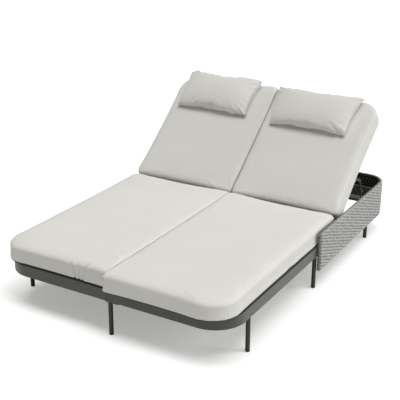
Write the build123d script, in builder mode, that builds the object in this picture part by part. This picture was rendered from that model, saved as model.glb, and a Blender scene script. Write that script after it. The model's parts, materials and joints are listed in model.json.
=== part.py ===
"""Double chaise lounger: a two-bay aluminium base on slim round legs, a woven band round the right
side and the back, two separately reclining backs on notched props, and loose cushions.

Millimetres. +X is to the sitter's left seen from the foot end, +Y runs from the foot end to the head
end, +Z is up. The origin is on the floor under the middle of the lounger's outline.
"""
import os
from math import cos, radians, sin, sqrt

from build123d import *

os.makedirs("parts", exist_ok=True)

# Base frame
frame_width = 1400
frame_length = 2074
rail_height = 60
rail_thickness = 25
rail_wall = 2.5
rail_underside = 195
front_corner_radius = 172
rear_corner_radius = 99
corner_tail = 20
centre_rail_thickness = 22
half_gap = 1.2

# Woven band
band_thickness = 26
band_height = 230
band_underside = 108
band_back_underside = 152
band_start_before_leg = 7
band_left_set = 75
band_edge_radius = 12
band_wall = 7
band_bar_height = 15
band_upright_width = 30
band_bolt_radius = 3
band_bolt_head_radius = 6
band_bolt_head_height = 4
side_bolt_shares = (0.05, 0.5, 0.87)
back_bolt_shares = (-0.84, -0.3, 0.3, 0.82)

# Legs
leg_radius = 12
leg_wall = 2
leg_front_set = 224
leg_middle_share = 0.49421
leg_rear_end_set = 236
glide_height = 9
glide_rounding = 4
spigot_length = 15
spigot_clearance = 0.05
plate_length = 90
plate_width = 24
plate_thickness = 6
plate_shift = 15

# Deck and cross beams
slat_count = 12
slat_width = 45
slat_thickness = 10
slat_wall = 1.5
first_slat_set = 72
last_slat_hinge_set = 76
deck_rise = 2
beam_width = 30
hinge_beam_height = 30
rack_beam_height = 25
rack_beam_end_set = 124
middle_beam_share = 0.47833
frame_bolt_radius = 4
frame_bolt_head_radius = 7.5
frame_bolt_head_height = 5
frame_bolt_shares = (0.186, 0.589, 0.961)
rack_bolt_set = 22
bolt_clearance = 0.1

# Reclining backs
hinge_end_set = 736
hinge_drop = 3
rest_angle = 39
back_tube = 20
back_tube_wall = 2
back_frame_side_room = 72
back_frame_length = 700
back_frame_corner = 45
lower_tie_set = 32
back_slat_count = 9
back_slat_width = 30
back_slat_thickness = 8
hinge_pin_radius = 5
running_clearance = 0.05
ear_thickness = 4
ear_side_clearance = 0.4
ear_width = 26
bracket_base_thickness = 3
pin_head_radius = 7
pin_head_height = 3

# Props and their racks
prop_length = 344
prop_bar_thickness = 6
prop_bar_width = 18
prop_bar_gap = 2
prop_eye_radius = 9
prop_foot_eye_radius = 17
prop_rod_radius = 10
prop_rod_end = 2
prop_pin_radius = 4
prop_knee_angle = 108
prop_knee_share = 0.4
prop_knee_radius = 60
collar_radius = 7
collar_clearance = 0.3
rack_side_set = 50
rack_thickness = 6
rack_clearance = 0.3
rack_front_margin = 14
rack_end_gap = 24
spacer_length = 30
spacer_drop = 3
spacer_shares = (0.12, 0.74)
notch_clearance = 0.3
notch_sink = 6
notch_angles = (50, 39, 30, 21, 12)

# Cushions
cushion_thickness = 100
cushion_edge = 14
cushion_crown_inset = 120
cushion_side_draw = 5
cushion_tight_corner = 22
cushion_back_corner = 35
cushion_mid_gap = 4
seat_cushion_hinge_set = 44
left_overhang = 16
left_seat_front_set = 2
left_seat_corner = 130
right_seat_corner = 150
front_overhang = 40
right_seat_side_inset = 6
back_cushion_start = 30
back_cushion_end = 836
back_cushion_outer_corner = 95
left_back_overhang = 6
right_back_side_inset = 4
cushion_section_shares = (
    (0, 0.9, 0),
    (0.15, 0, 0),
    (0.68, 0.1, 0),
    (0.86, 0.9, 0.02),
    (0.96, 1, 0.4),
    (1, 1, 1),
)

# Head pillows
pillow_width_share = 0.76429
pillow_length = 292
pillow_thickness = 78
pillow_edge = 30
pillow_crown_inset = 85
pillow_side_draw = 15
pillow_corner = 14
left_pillow_place = (-27, 717)
right_pillow_place = (-40, 694)
pillow_section_shares = (
    (0, 1, 0),
    (0.34, 0, 0),
    (0.46, 0.1, 0),
    (0.74, 1, 0.15),
    (0.93, 1, 0.6),
    (1, 1, 1),
)

# Shared
overrun = 5

# Places worked out from the sizes above
band_corner_radius = rear_corner_radius + band_thickness
mid_x = (left_overhang - band_thickness) / 2
front_y = (front_overhang - frame_length - band_thickness) / 2
rear_y = front_y + frame_length
half_width = frame_width / 2
rail_top = rail_underside + rail_height
rail_middle = rail_underside + rail_height / 2
inner_face = half_width - rail_thickness
centre_face = half_gap + centre_rail_thickness
bay_middle = half_width / 2
deck_height = rail_top + deck_rise
hinge_height = rail_top - hinge_drop
hinge_set = frame_length - hinge_end_set
hinge_y = front_y + hinge_set
leg_middle_set = leg_middle_share * frame_length
leg_rear_set = frame_length - leg_rear_end_set
band_front_set = leg_middle_set - band_start_before_leg
last_slat_set = hinge_set - last_slat_hinge_set
rack_beam_set = frame_length - rack_beam_end_set
middle_beam_set = middle_beam_share * hinge_set
back_frame_half_width = bay_middle - back_frame_side_room
lean = radians(rest_angle)
tube_middle = back_frame_half_width - back_tube / 2
prop_bar_middle = back_frame_half_width + prop_bar_gap + prop_bar_thickness / 2
rack_middle = bay_middle - rack_side_set
prop_top = (hinge_y + prop_length * cos(lean), hinge_height + prop_length * sin(lean))
prop_foot = (hinge_y + 2 * prop_length * cos(lean), hinge_height)
rack_top = hinge_height - prop_rod_radius - rack_clearance
rack_beam_top = rail_underside + rack_beam_height
hinge_beam_top = rail_underside + hinge_beam_height


def save(piece, name):
    """Names a finished piece and writes its file."""
    piece.part.label = name
    export_step(piece.part, f"parts/{name}.step")


def side_name(side):
    return "right" if side > 0 else "left"


def lying_cylinder(x_low, x_high, y, z, radius, mode=Mode.ADD):
    """A round bar or bore along X."""
    with Locations(((x_low + x_high) / 2, y, z)):
        Cylinder(radius, abs(x_high - x_low), rotation=(0, 90, 0), mode=mode)


def lengthways_cylinder(x, y_low, y_high, z, radius, mode=Mode.ADD):
    """A round bar or bore along Y."""
    with Locations((x, (y_low + y_high) / 2, z)):
        Cylinder(radius, abs(y_high - y_low), rotation=(90, 0, 0), mode=mode)


def block(x_low, x_high, y_low, y_high, z_low, z_high, mode=Mode.ADD):
    """A square-edged bar between two corners."""
    with Locations(((x_low + x_high) / 2, (y_low + y_high) / 2, (z_low + z_high) / 2)):
        Box(abs(x_high - x_low), abs(y_high - y_low), abs(z_high - z_low), mode=mode)


# Bolt places, shared by the rails, the band and the bolts themselves
band_bend_x = mid_x + half_width + band_thickness - band_corner_radius
band_bend_y = rear_y + band_thickness - band_corner_radius
side_bolt_run = band_bend_y - front_y - band_front_set
side_bolt_ys = [front_y + band_front_set + share * side_bolt_run for share in side_bolt_shares]
back_bolt_xs = [mid_x + share * half_width for share in back_bolt_shares]
frame_bolt_ys = [front_y + share * hinge_set for share in frame_bolt_shares]
frame_bolt_ys.append(front_y + rack_beam_set - rack_bolt_set)


# Base rails: box sections with closed ends
def corner_outline(side, radius, face_y, inward, inset):
    """Plan of an end rail that runs from the middle joint round its corner, inset all round."""
    centre_x = mid_x + side * (half_width - radius)
    centre_y = face_y + inward * radius
    outer = radius - inset
    inner = radius - rail_thickness + inset
    start_x = mid_x + side * (half_gap + inset)
    end_y = centre_y + inward * (corner_tail - inset)
    turn = sqrt(0.5)
    outer_y = face_y + inward * inset
    inner_y = face_y + inward * (rail_thickness - inset)
    outer_mid = (centre_x + side * outer * turn, centre_y - inward * outer * turn)
    inner_mid = (centre_x + side * inner * turn, centre_y - inward * inner * turn)
    with BuildLine() as outline:
        Line((start_x, outer_y), (centre_x, outer_y))
        ThreePointArc((centre_x, outer_y), outer_mid, (centre_x + side * outer, centre_y))
        Line((centre_x + side * outer, centre_y), (centre_x + side * outer, end_y))
        Line((centre_x + side * outer, end_y), (centre_x + side * inner, end_y))
        Line((centre_x + side * inner, end_y), (centre_x + side * inner, centre_y))
        ThreePointArc((centre_x + side * inner, centre_y), inner_mid, (centre_x, inner_y))
        Line((centre_x, inner_y), (start_x, inner_y))
        Line((start_x, inner_y), (start_x, outer_y))
    make_face(outline.edges())


for side in (-1, 1):
    with BuildPart() as front_rail:
        with BuildSketch(Plane.XY.offset(rail_underside)):
            corner_outline(side, front_corner_radius, front_y, 1, 0)
        extrude(amount=rail_height)
        with BuildSketch(Plane.XY.offset(rail_underside + rail_wall)):
            corner_outline(side, front_corner_radius, front_y, 1, rail_wall)
        extrude(amount=rail_height - 2 * rail_wall, mode=Mode.SUBTRACT)
    save(front_rail, f"front_rail_{side_name(side)}")

    with BuildPart() as rear_rail:
        with BuildSketch(Plane.XY.offset(rail_underside)):
            corner_outline(side, rear_corner_radius, rear_y, -1, 0)
        extrude(amount=rail_height)
        with BuildSketch(Plane.XY.offset(rail_underside + rail_wall)):
            corner_outline(side, rear_corner_radius, rear_y, -1, rail_wall)
        extrude(amount=rail_height - 2 * rail_wall, mode=Mode.SUBTRACT)
        for bolt_x in back_bolt_xs:
            if side * (bolt_x - mid_x) > 0:
                lengthways_cylinder(
                    bolt_x,
                    rear_y - rail_thickness - overrun,
                    rear_y + overrun,
                    rail_middle,
                    band_bolt_radius + bolt_clearance,
                    Mode.SUBTRACT,
                )
    save(rear_rail, f"rear_rail_{side_name(side)}")

    side_low = front_y + front_corner_radius + corner_tail
    side_high = rear_y - rear_corner_radius - corner_tail
    with BuildPart() as side_rail:
        face_in = mid_x + side * inner_face
        face_out = mid_x + side * half_width
        wall = side * rail_wall
        block(face_in, face_out, side_low, side_high, rail_underside, rail_top)
        block(
            face_in + wall,
            face_out - wall,
            side_low + rail_wall,
            side_high - rail_wall,
            rail_underside + rail_wall,
            rail_top - rail_wall,
            Mode.SUBTRACT,
        )
        if side > 0:
            for bolt_y in side_bolt_ys:
                lying_cylinder(
                    face_in - overrun,
                    face_out + overrun,
                    bolt_y,
                    rail_middle,
                    band_bolt_radius + bolt_clearance,
                    Mode.SUBTRACT,
                )
    save(side_rail, f"side_rail_{side_name(side)}")

    centre_low = front_y + rail_thickness
    centre_high = rear_y - rail_thickness
    with BuildPart() as centre_rail:
        face_in = mid_x + side * half_gap
        face_out = mid_x + side * centre_face
        block(face_in, face_out, centre_low, centre_high, rail_underside, rail_top)
        block(
            face_in + wall,
            face_out - wall,
            centre_low + rail_wall,
            centre_high - rail_wall,
            rail_underside + rail_wall,
            rail_top - rail_wall,
            Mode.SUBTRACT,
        )
        for bolt_y in frame_bolt_ys:
            lying_cylinder(
                face_in - wall,
                face_out + wall,
                bolt_y,
                rail_middle,
                frame_bolt_radius + bolt_clearance,
                Mode.SUBTRACT,
            )
    save(centre_rail, f"centre_rail_{side_name(side)}")

# Bolts that join the two bays through their middle rails, head on one side and nut on the other
with BuildPart() as frame_bolts:
    for bolt_y in frame_bolt_ys:
        lying_cylinder(
            mid_x - centre_face,
            mid_x + centre_face + frame_bolt_head_height,
            bolt_y,
            rail_middle,
            frame_bolt_radius,
        )
        lying_cylinder(
            mid_x - centre_face - frame_bolt_head_height,
            mid_x - centre_face,
            bolt_y,
            rail_middle,
            frame_bolt_head_radius,
        )
        with BuildSketch(Plane.YZ.offset(mid_x + centre_face)):
            with Locations((bolt_y, rail_middle)):
                RegularPolygon(frame_bolt_head_radius, 6)
        extrude(amount=frame_bolt_head_height)
save(frame_bolts, "frame_bolts")

# Cross beams: one under the hinges, one under the racks and one under the seat in each bay
for side in (-1, 1):
    beam_in = mid_x + side * centre_face
    beam_out = mid_x + side * inner_face
    for beam_name, beam_set, beam_height in (
        ("seat_beam", middle_beam_set, hinge_beam_height),
        ("hinge_beam", hinge_set, hinge_beam_height),
        ("rack_beam", rack_beam_set, rack_beam_height),
    ):
        with BuildPart() as beam:
            beam_low = front_y + beam_set - beam_width / 2
            beam_high = front_y + beam_set + beam_width / 2
            block(
                beam_in,
                beam_out,
                beam_low,
                beam_high,
                rail_underside,
                rail_underside + beam_height,
            )
            block(
                beam_in + side * rail_wall,
                beam_out - side * rail_wall,
                beam_low + rail_wall,
                beam_high - rail_wall,
                rail_underside + rail_wall,
                rail_underside + beam_height - rail_wall,
                Mode.SUBTRACT,
            )
        save(beam, f"{beam_name}_{side_name(side)}")


# Seat slats, each as long as the bay is wide at its place
def slat_reach(distance):
    """How far a slat reaches from the middle line, at a distance behind the front face."""
    depth = front_corner_radius - distance
    if depth <= 0:
        return inner_face
    bend = front_corner_radius - rail_thickness
    return half_width - front_corner_radius + sqrt(bend**2 - depth**2)


slat_pitch = (last_slat_set - first_slat_set) / (slat_count - 1)
for side in (-1, 1):
    with BuildPart() as seat_slats:
        for index in range(slat_count):
            slat_set = first_slat_set + index * slat_pitch
            slat_in = mid_x + side * centre_face
            slat_out = mid_x + side * slat_reach(slat_set - slat_width / 2)
            slat_low = front_y + slat_set - slat_width / 2
            slat_high = front_y + slat_set + slat_width / 2
            slat_under = deck_height - slat_thickness
            block(slat_in, slat_out, slat_low, slat_high, slat_under, deck_height)
            block(
                slat_in + side * slat_wall,
                slat_out - side * slat_wall,
                slat_low + slat_wall,
                slat_high - slat_wall,
                slat_under + slat_wall,
                deck_height - slat_wall,
                Mode.SUBTRACT,
            )
    save(seat_slats, f"seat_slats_{side_name(side)}")

# Legs: tubes under the middle of each rail, with a plate across the joint at the front
outer_leg_x = half_width - rail_thickness / 2
centre_leg_x = half_gap + centre_rail_thickness / 2
front_leg_y = front_y + rail_thickness / 2
leg_places = {
    "leg_front_left": (mid_x - outer_leg_x, front_y + leg_front_set),
    "leg_front_centre": (mid_x + centre_leg_x, front_leg_y),
    "leg_front_right": (mid_x + outer_leg_x, front_y + leg_front_set),
    "leg_middle_left": (mid_x - outer_leg_x, front_y + leg_middle_set),
    "leg_middle_centre": (mid_x + centre_leg_x, front_y + leg_middle_set),
    "leg_middle_right": (mid_x + outer_leg_x, front_y + leg_middle_set),
    "leg_rear_left": (mid_x - outer_leg_x, front_y + leg_rear_set),
    "leg_rear_centre": (mid_x + centre_leg_x, front_y + leg_rear_set),
    "leg_rear_right": (mid_x + outer_leg_x, front_y + leg_rear_set),
}
plated_legs = ("leg_front_centre", "leg_middle_centre", "leg_rear_centre")
for leg_name, leg_place in leg_places.items():
    leg_top = rail_underside - (plate_thickness if leg_name in plated_legs else 0)
    with BuildPart() as leg:
        with BuildSketch(Plane.XY.offset(glide_height)):
            with Locations(leg_place):
                Circle(leg_radius)
                Circle(leg_radius - leg_wall, mode=Mode.SUBTRACT)
        extrude(amount=leg_top - glide_height)
    save(leg, leg_name)

with BuildPart() as leg_glides:
    for leg_place in leg_places.values():
        with BuildSketch(Plane.XY):
            with Locations(leg_place):
                Circle(leg_radius)
        extrude(amount=glide_height)
    fillet(leg_glides.edges().group_by(Axis.Z)[0], glide_rounding)
    for leg_place in leg_places.values():
        with BuildSketch(Plane.XY.offset(glide_height)):
            with Locations(leg_place):
                Circle(leg_radius - leg_wall - spigot_clearance)
        extrude(amount=spigot_length)
save(leg_glides, "leg_glides")

# Plates that tie the two bays together over the middle legs
with BuildPart() as joining_plates:
    for leg_name in plated_legs:
        plate_x, plate_y = leg_places[leg_name]
        with BuildSketch(Plane.XY.offset(rail_underside - plate_thickness)):
            with Locations((plate_x + plate_shift, plate_y)):
                if leg_name == "leg_front_centre":
                    SlotOverall(plate_length, plate_width)
                else:
                    with Locations((-plate_shift - centre_leg_x, 0)):
                        Rectangle(2 * centre_face, plate_length)
        extrude(amount=plate_thickness)
save(joining_plates, "joining_plates")


# Woven band: a closed rope skin over a flat metal frame, from the right side round to the back
def band_outline(inset):
    """Plan of the band's L, inset all round."""
    low = front_y + band_front_set + inset
    side_in = mid_x + half_width + inset
    side_out = mid_x + half_width + band_thickness - inset
    back_in = rear_y + inset
    back_out = rear_y + band_thickness - inset
    left_end = mid_x - half_width + band_left_set + inset
    centre = (band_bend_x, band_bend_y)
    turn = sqrt(0.5)
    outer = band_corner_radius - inset
    inner = band_corner_radius - band_thickness + inset
    outer_mid = (centre[0] + outer * turn, centre[1] + outer * turn)
    inner_mid = (centre[0] + inner * turn, centre[1] + inner * turn)
    with BuildLine() as outline:
        Line((side_in, low), (side_out, low))
        Line((side_out, low), (side_out, centre[1]))
        ThreePointArc((side_out, centre[1]), outer_mid, (centre[0], back_out))
        Line((centre[0], back_out), (left_end, back_out))
        Line((left_end, back_out), (left_end, back_in))
        Line((left_end, back_in), (centre[0], back_in))
        ThreePointArc((centre[0], back_in), inner_mid, (side_in, centre[1]))
        Line((side_in, centre[1]), (side_in, low))
    make_face(outline.edges())


def raise_back_edge(rise):
    """Cuts the lower edge along the back, which sweeps up round the rear corner."""
    diagonal = Plane(origin=(band_bend_x, band_bend_y, 0), x_dir=(-1, 1, 0), z_dir=(-1, -1, 0))
    start = -band_corner_radius * sqrt(0.5)
    low = band_underside - overrun
    edge = band_underside + rise
    high = band_back_underside + rise
    with BuildSketch(diagonal) as edge_cut:
        with BuildLine():
            Polyline(
                (start, low),
                (start, edge),
                (-start, high),
                (frame_width, high),
                (frame_width, low),
                close=True,
            )
        make_face()
    extrude(edge_cut.sketch, amount=frame_width, both=True, mode=Mode.SUBTRACT)


def band_bolt_bores():
    """Clear holes for the band's bolts, from the inner face to the middle of the band."""
    for bolt_y in side_bolt_ys:
        low = mid_x + half_width - overrun
        high = mid_x + half_width + band_thickness - band_wall
        lying_cylinder(
            low, high, bolt_y, rail_middle, band_bolt_radius + bolt_clearance, Mode.SUBTRACT
        )
    for bolt_x in back_bolt_xs:
        low = rear_y - overrun
        high = rear_y + band_thickness - band_wall
        lengthways_cylinder(
            bolt_x, low, high, rail_middle, band_bolt_radius + bolt_clearance, Mode.SUBTRACT
        )


band_top = band_underside + band_height
with BuildPart() as band_hollow:
    with BuildSketch(Plane.XY.offset(band_underside + band_wall)):
        band_outline(band_wall)
    extrude(amount=band_height - 2 * band_wall)
    raise_back_edge(band_wall)

with BuildPart() as woven_band:
    with BuildSketch(Plane.XY.offset(band_underside)):
        band_outline(0)
    extrude(amount=band_height)
    rounded = woven_band.edges().group_by(Axis.Z)[0] + woven_band.edges().group_by(Axis.Z)[-1]
    fillet(rounded, band_edge_radius)
    raise_back_edge(0)
    add(band_hollow.part, mode=Mode.SUBTRACT)
    band_bolt_bores()
save(woven_band, "woven_band")

band_core = band_thickness - 2 * band_wall
with BuildPart() as band_frame:
    with BuildSketch(Plane.XY.offset(band_top - band_wall - band_bar_height)):
        band_outline(band_wall)
    extrude(amount=band_bar_height)
    side_core = mid_x + half_width + band_wall
    back_core = rear_y + band_wall
    block(
        side_core,
        side_core + band_core,
        front_y + band_front_set + band_wall,
        band_bend_y,
        band_underside + band_wall,
        band_underside + band_wall + band_bar_height,
    )
    block(
        mid_x - half_width + band_left_set + band_wall,
        band_bend_x - band_thickness,
        back_core,
        back_core + band_core,
        band_back_underside + band_wall,
        band_back_underside + band_wall + band_bar_height,
    )
    for bolt_y in side_bolt_ys:
        block(
            side_core,
            side_core + band_core,
            bolt_y - band_upright_width / 2,
            bolt_y + band_upright_width / 2,
            band_underside + band_wall,
            band_top - band_wall,
        )
    for bolt_x in back_bolt_xs:
        block(
            bolt_x - band_upright_width / 2,
            bolt_x + band_upright_width / 2,
            back_core,
            back_core + band_core,
            band_back_underside + band_wall,
            band_top - band_wall,
        )
    band_bolt_bores()
save(band_frame, "band_frame")

with BuildPart() as band_bolts:
    for bolt_y in side_bolt_ys:
        face = mid_x + inner_face
        tip = mid_x + half_width + band_wall + band_core
        lying_cylinder(face, tip, bolt_y, rail_middle, band_bolt_radius)
        lying_cylinder(
            face - band_bolt_head_height, face, bolt_y, rail_middle, band_bolt_head_radius
        )
    for bolt_x in back_bolt_xs:
        face = rear_y - rail_thickness
        tip = rear_y + band_wall + band_core
        lengthways_cylinder(bolt_x, face, tip, rail_middle, band_bolt_radius)
        lengthways_cylinder(
            bolt_x, face - band_bolt_head_height, face, rail_middle, band_bolt_head_radius
        )
save(band_bolts, "band_bolts")


# Reclining backs, one in each bay, drawn in the plane of the leaning back
def bay_x(side):
    return mid_x + side * bay_middle


def back_plane(side, height=0):
    """Plane at the hinge that leans with the back: X across, Y up the back, Z out of it."""
    plane = Plane(
        origin=(bay_x(side), hinge_y, hinge_height),
        x_dir=(1, 0, 0),
        z_dir=(0, -sin(lean), cos(lean)),
    )
    return plane.offset(height)


def up_the_back(distance):
    """Y and Z of a point on the hinge line's plane, at a distance up the back."""
    return hinge_y + distance * cos(lean), hinge_height + distance * sin(lean)


back_slat_pitch = (back_frame_length - lower_tie_set - back_tube) / back_slat_count
for side in (-1, 1):
    with BuildPart() as back_frame:
        with BuildSketch(back_plane(side, -back_tube / 2)) as tube_sketch:
            with Locations((0, back_frame_length / 2)):
                head = Rectangle(2 * back_frame_half_width, back_frame_length)
            fillet(tube_sketch.vertices().group_by(Axis.Y)[-1], back_frame_corner)
            opening_width = 2 * (back_frame_half_width - back_tube)
            opening_height = back_frame_length - back_tube
            with Locations((0, opening_height / 2)):
                Rectangle(opening_width, opening_height, mode=Mode.SUBTRACT)
        extrude(amount=back_tube)
        with BuildSketch(back_plane(side, back_tube_wall - back_tube / 2)) as bore_sketch:
            bore_low = back_tube
            bore_high = back_frame_length - back_tube_wall
            bore_width = 2 * (back_frame_half_width - back_tube_wall)
            with Locations((0, (bore_low + bore_high) / 2)):
                Rectangle(bore_width, bore_high - bore_low)
            fillet(
                bore_sketch.vertices().group_by(Axis.Y)[-1], back_frame_corner - back_tube_wall
            )
            solid_width = 2 * (back_frame_half_width - back_tube + back_tube_wall)
            solid_height = back_frame_length - back_tube + back_tube_wall
            with Locations((0, solid_height / 2)):
                Rectangle(solid_width, solid_height, mode=Mode.SUBTRACT)
        extrude(amount=back_tube - 2 * back_tube_wall, mode=Mode.SUBTRACT)
        with BuildSketch(back_plane(side, -back_tube / 2)):
            with Locations((0, lower_tie_set)):
                Rectangle(opening_width, back_tube)
        extrude(amount=back_tube)
        with BuildSketch(back_plane(side, back_tube / 2 - back_slat_thickness)):
            for index in range(1, back_slat_count):
                with Locations((0, lower_tie_set + index * back_slat_pitch)):
                    Rectangle(opening_width, back_slat_width)
        extrude(amount=back_slat_thickness)
        for hand in (-1, 1):
            tube_in = bay_x(side) + hand * (back_frame_half_width - back_tube)
            tube_out = bay_x(side) + hand * back_frame_half_width
            lying_cylinder(tube_in, tube_out, hinge_y, hinge_height, back_tube / 2)
            lying_cylinder(
                tube_in - hand * overrun,
                tube_out + hand * overrun,
                hinge_y,
                hinge_height,
                hinge_pin_radius + running_clearance,
                Mode.SUBTRACT,
            )
            lying_cylinder(
                tube_in - hand * overrun,
                tube_out + hand * overrun,
                prop_top[0],
                prop_top[1],
                prop_pin_radius + running_clearance,
                Mode.SUBTRACT,
            )
    save(back_frame, f"back_frame_{side_name(side)}")

    # Fork brackets on the hinge beam
    with BuildPart() as hinge_brackets:
        for hand in (-1, 1):
            fork_x = bay_x(side) + hand * tube_middle
            fork_half = back_tube / 2 + ear_side_clearance
            block(
                fork_x - fork_half - ear_thickness,
                fork_x + fork_half + ear_thickness,
                hinge_y - beam_width / 2,
                hinge_y + beam_width / 2,
                hinge_beam_top,
                hinge_beam_top + bracket_base_thickness,
            )
            for ear in (-1, 1):
                ear_near = fork_x + ear * fork_half
                ear_far = fork_x + ear * (fork_half + ear_thickness)
                block(
                    ear_near,
                    ear_far,
                    hinge_y - ear_width / 2,
                    hinge_y + ear_width / 2,
                    hinge_beam_top,
                    hinge_height,
                )
                lying_cylinder(ear_near, ear_far, hinge_y, hinge_height, ear_width / 2)
            lying_cylinder(
                fork_x - fork_half - ear_thickness - overrun,
                fork_x + fork_half + ear_thickness + overrun,
                hinge_y,
                hinge_height,
                hinge_pin_radius + running_clearance,
                Mode.SUBTRACT,
            )
    save(hinge_brackets, f"hinge_brackets_{side_name(side)}")

    # Hinge pins with a head at each end
    with BuildPart() as hinge_pins:
        for hand in (-1, 1):
            fork_x = bay_x(side) + hand * tube_middle
            fork_face = back_tube / 2 + ear_side_clearance + ear_thickness
            lying_cylinder(
                fork_x - fork_face, fork_x + fork_face, hinge_y, hinge_height, hinge_pin_radius
            )
            for end in (-1, 1):
                lying_cylinder(
                    fork_x + end * fork_face,
                    fork_x + end * (fork_face + pin_head_height),
                    hinge_y,
                    hinge_height,
                    pin_head_radius,
                )
    save(hinge_pins, f"hinge_pins_{side_name(side)}")

    # Pins on the back's tube that carry the prop, with a collar between tube and bar
    with BuildPart() as prop_pins:
        for hand in (-1, 1):
            inner_x = bay_x(side) + hand * (back_frame_half_width - back_tube)
            outer_x = bay_x(side) + hand * back_frame_half_width
            bar_far = outer_x + hand * (prop_bar_gap + prop_bar_thickness + collar_clearance)
            lying_cylinder(inner_x, bar_far, *prop_top, prop_pin_radius)
            lying_cylinder(inner_x - hand * pin_head_height, inner_x, *prop_top, pin_head_radius)
            lying_cylinder(
                outer_x,
                outer_x + hand * (prop_bar_gap - collar_clearance),
                *prop_top,
                collar_radius,
            )
            lying_cylinder(bar_far, bar_far + hand * pin_head_height, *prop_top, pin_head_radius)
    save(prop_pins, f"prop_pins_{side_name(side)}")

    # Cranked side bars of the prop, from the pin on the back down to the rod in the rack
    knee_lean = radians(prop_knee_angle)
    knee_run = prop_knee_share * prop_length
    prop_knee = (
        prop_foot[0] + knee_run * cos(knee_lean),
        prop_foot[1] + knee_run * sin(knee_lean),
    )
    with BuildPart() as prop_bars:
        for hand in (-1, 1):
            bar_x = bay_x(side) + hand * prop_bar_middle - prop_bar_thickness / 2
            with BuildSketch(Plane.YZ.offset(bar_x)):
                with BuildLine():
                    FilletPolyline(prop_top, prop_knee, prop_foot, radius=prop_knee_radius)
                trace(line_width=prop_bar_width)
                with Locations(prop_top):
                    Circle(prop_eye_radius)
                with Locations(prop_foot):
                    Circle(prop_foot_eye_radius)
                    Circle(prop_rod_radius + running_clearance, mode=Mode.SUBTRACT)
                with Locations(prop_top):
                    Circle(prop_pin_radius + running_clearance, mode=Mode.SUBTRACT)
            extrude(amount=prop_bar_thickness)
    save(prop_bars, f"prop_bars_{side_name(side)}")

    rod_reach = rack_middle + rack_thickness / 2 + prop_rod_end
    with BuildPart() as prop_rod:
        lying_cylinder(
            bay_x(side) - rod_reach, bay_x(side) + rod_reach, *prop_foot, prop_rod_radius
        )
    save(prop_rod, f"prop_rod_{side_name(side)}")

    # Notched racks over the rack beam, held off the rails on each side by spacers
    rack_low = hinge_y + 2 * prop_length * cos(radians(notch_angles[0])) - rack_front_margin
    rack_high = rear_y - rail_thickness - rack_end_gap
    with BuildPart() as prop_racks:
        for hand in (-1, 1):
            rail_face = inner_face if hand * side > 0 else centre_face
            spacer_near = bay_x(side) + hand * rack_middle
            spacer_far = mid_x + side * rail_face
            for share in spacer_shares:
                spacer_y = rack_low + share * (rack_high - rack_low)
                block(
                    spacer_near,
                    spacer_far,
                    spacer_y - spacer_length / 2,
                    spacer_y + spacer_length / 2,
                    rack_beam_top,
                    rack_top - notch_sink - spacer_drop,
                )
            rack_x = bay_x(side) + hand * rack_middle - rack_thickness / 2
            with BuildSketch(Plane.YZ.offset(rack_x)):
                with Locations(((rack_low + rack_high) / 2, (rack_beam_top + rack_top) / 2)):
                    Rectangle(rack_high - rack_low, rack_top - rack_beam_top)
                for angle in notch_angles:
                    notch_y = hinge_y + 2 * prop_length * cos(radians(angle))
                    with Locations((notch_y, hinge_height - notch_sink)):
                        Circle(prop_rod_radius + notch_clearance, mode=Mode.SUBTRACT)
            extrude(amount=rack_thickness)
    save(prop_racks, f"prop_racks_{side_name(side)}")


# Cushions: crowned, with sides drawn in between their corners
def padded_outline(low, high, radii, draw, inset):
    """Closed outline with four round corners and four sides that bow inwards."""
    u_low, v_low = low[0] + inset, low[1] + inset
    u_high, v_high = high[0] - inset, high[1] - inset
    corners = (
        (u_low, v_low, 1, 1),
        (u_high, v_low, -1, 1),
        (u_high, v_high, -1, -1),
        (u_low, v_high, 1, -1),
    )
    turn = 1 - sqrt(0.5)
    arcs = []
    for index, (u, v, du, dv) in enumerate(corners):
        radius = radii[index]
        along_u = (u + du * radius, v)
        along_v = (u, v + dv * radius)
        bend = (u + du * radius * turn, v + dv * radius * turn)
        first, last = (along_v, along_u) if index % 2 == 0 else (along_u, along_v)
        arcs.append((first, bend, last))
    pulls = ((0, draw), (-draw, 0), (0, -draw), (draw, 0))
    with BuildLine() as outline:
        for index in range(len(arcs)):
            ThreePointArc(*arcs[index])
            start = arcs[index][2]
            end = arcs[(index + 1) % len(arcs)][0]
            pull_u, pull_v = pulls[index]
            middle = ((start[0] + end[0]) / 2 + pull_u, (start[1] + end[1]) / 2 + pull_v)
            ThreePointArc(start, middle, end)
    make_face(outline.edges())


def cushion(plane, low, high, radii):
    """A boxed cushion lofted through its plan at rising heights."""
    sections = []
    for height_share, edge_share, crown_share in cushion_section_shares:
        inset = edge_share * cushion_edge + crown_share * cushion_crown_inset
        with BuildSketch(plane.offset(height_share * cushion_thickness)) as section:
            padded_outline(low, high, radii, cushion_side_draw, inset)
        sections.append(section.sketch)
    loft(sections=sections, ruled=True)


seat_plane = Plane.XY.offset(deck_height)
seat_end = hinge_y - seat_cushion_hinge_set
with BuildPart() as seat_cushion_left:
    cushion(
        seat_plane,
        (mid_x - half_width - left_overhang, front_y + left_seat_front_set),
        (mid_x - cushion_mid_gap, seat_end),
        (left_seat_corner, cushion_tight_corner, cushion_tight_corner, cushion_back_corner),
    )
save(seat_cushion_left, "seat_cushion_left")

with BuildPart() as seat_cushion_right:
    cushion(
        seat_plane,
        (mid_x + cushion_mid_gap, front_y - front_overhang),
        (mid_x + half_width - right_seat_side_inset, seat_end),
        (cushion_tight_corner, right_seat_corner, cushion_back_corner, cushion_tight_corner),
    )
save(seat_cushion_right, "seat_cushion_right")

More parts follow.
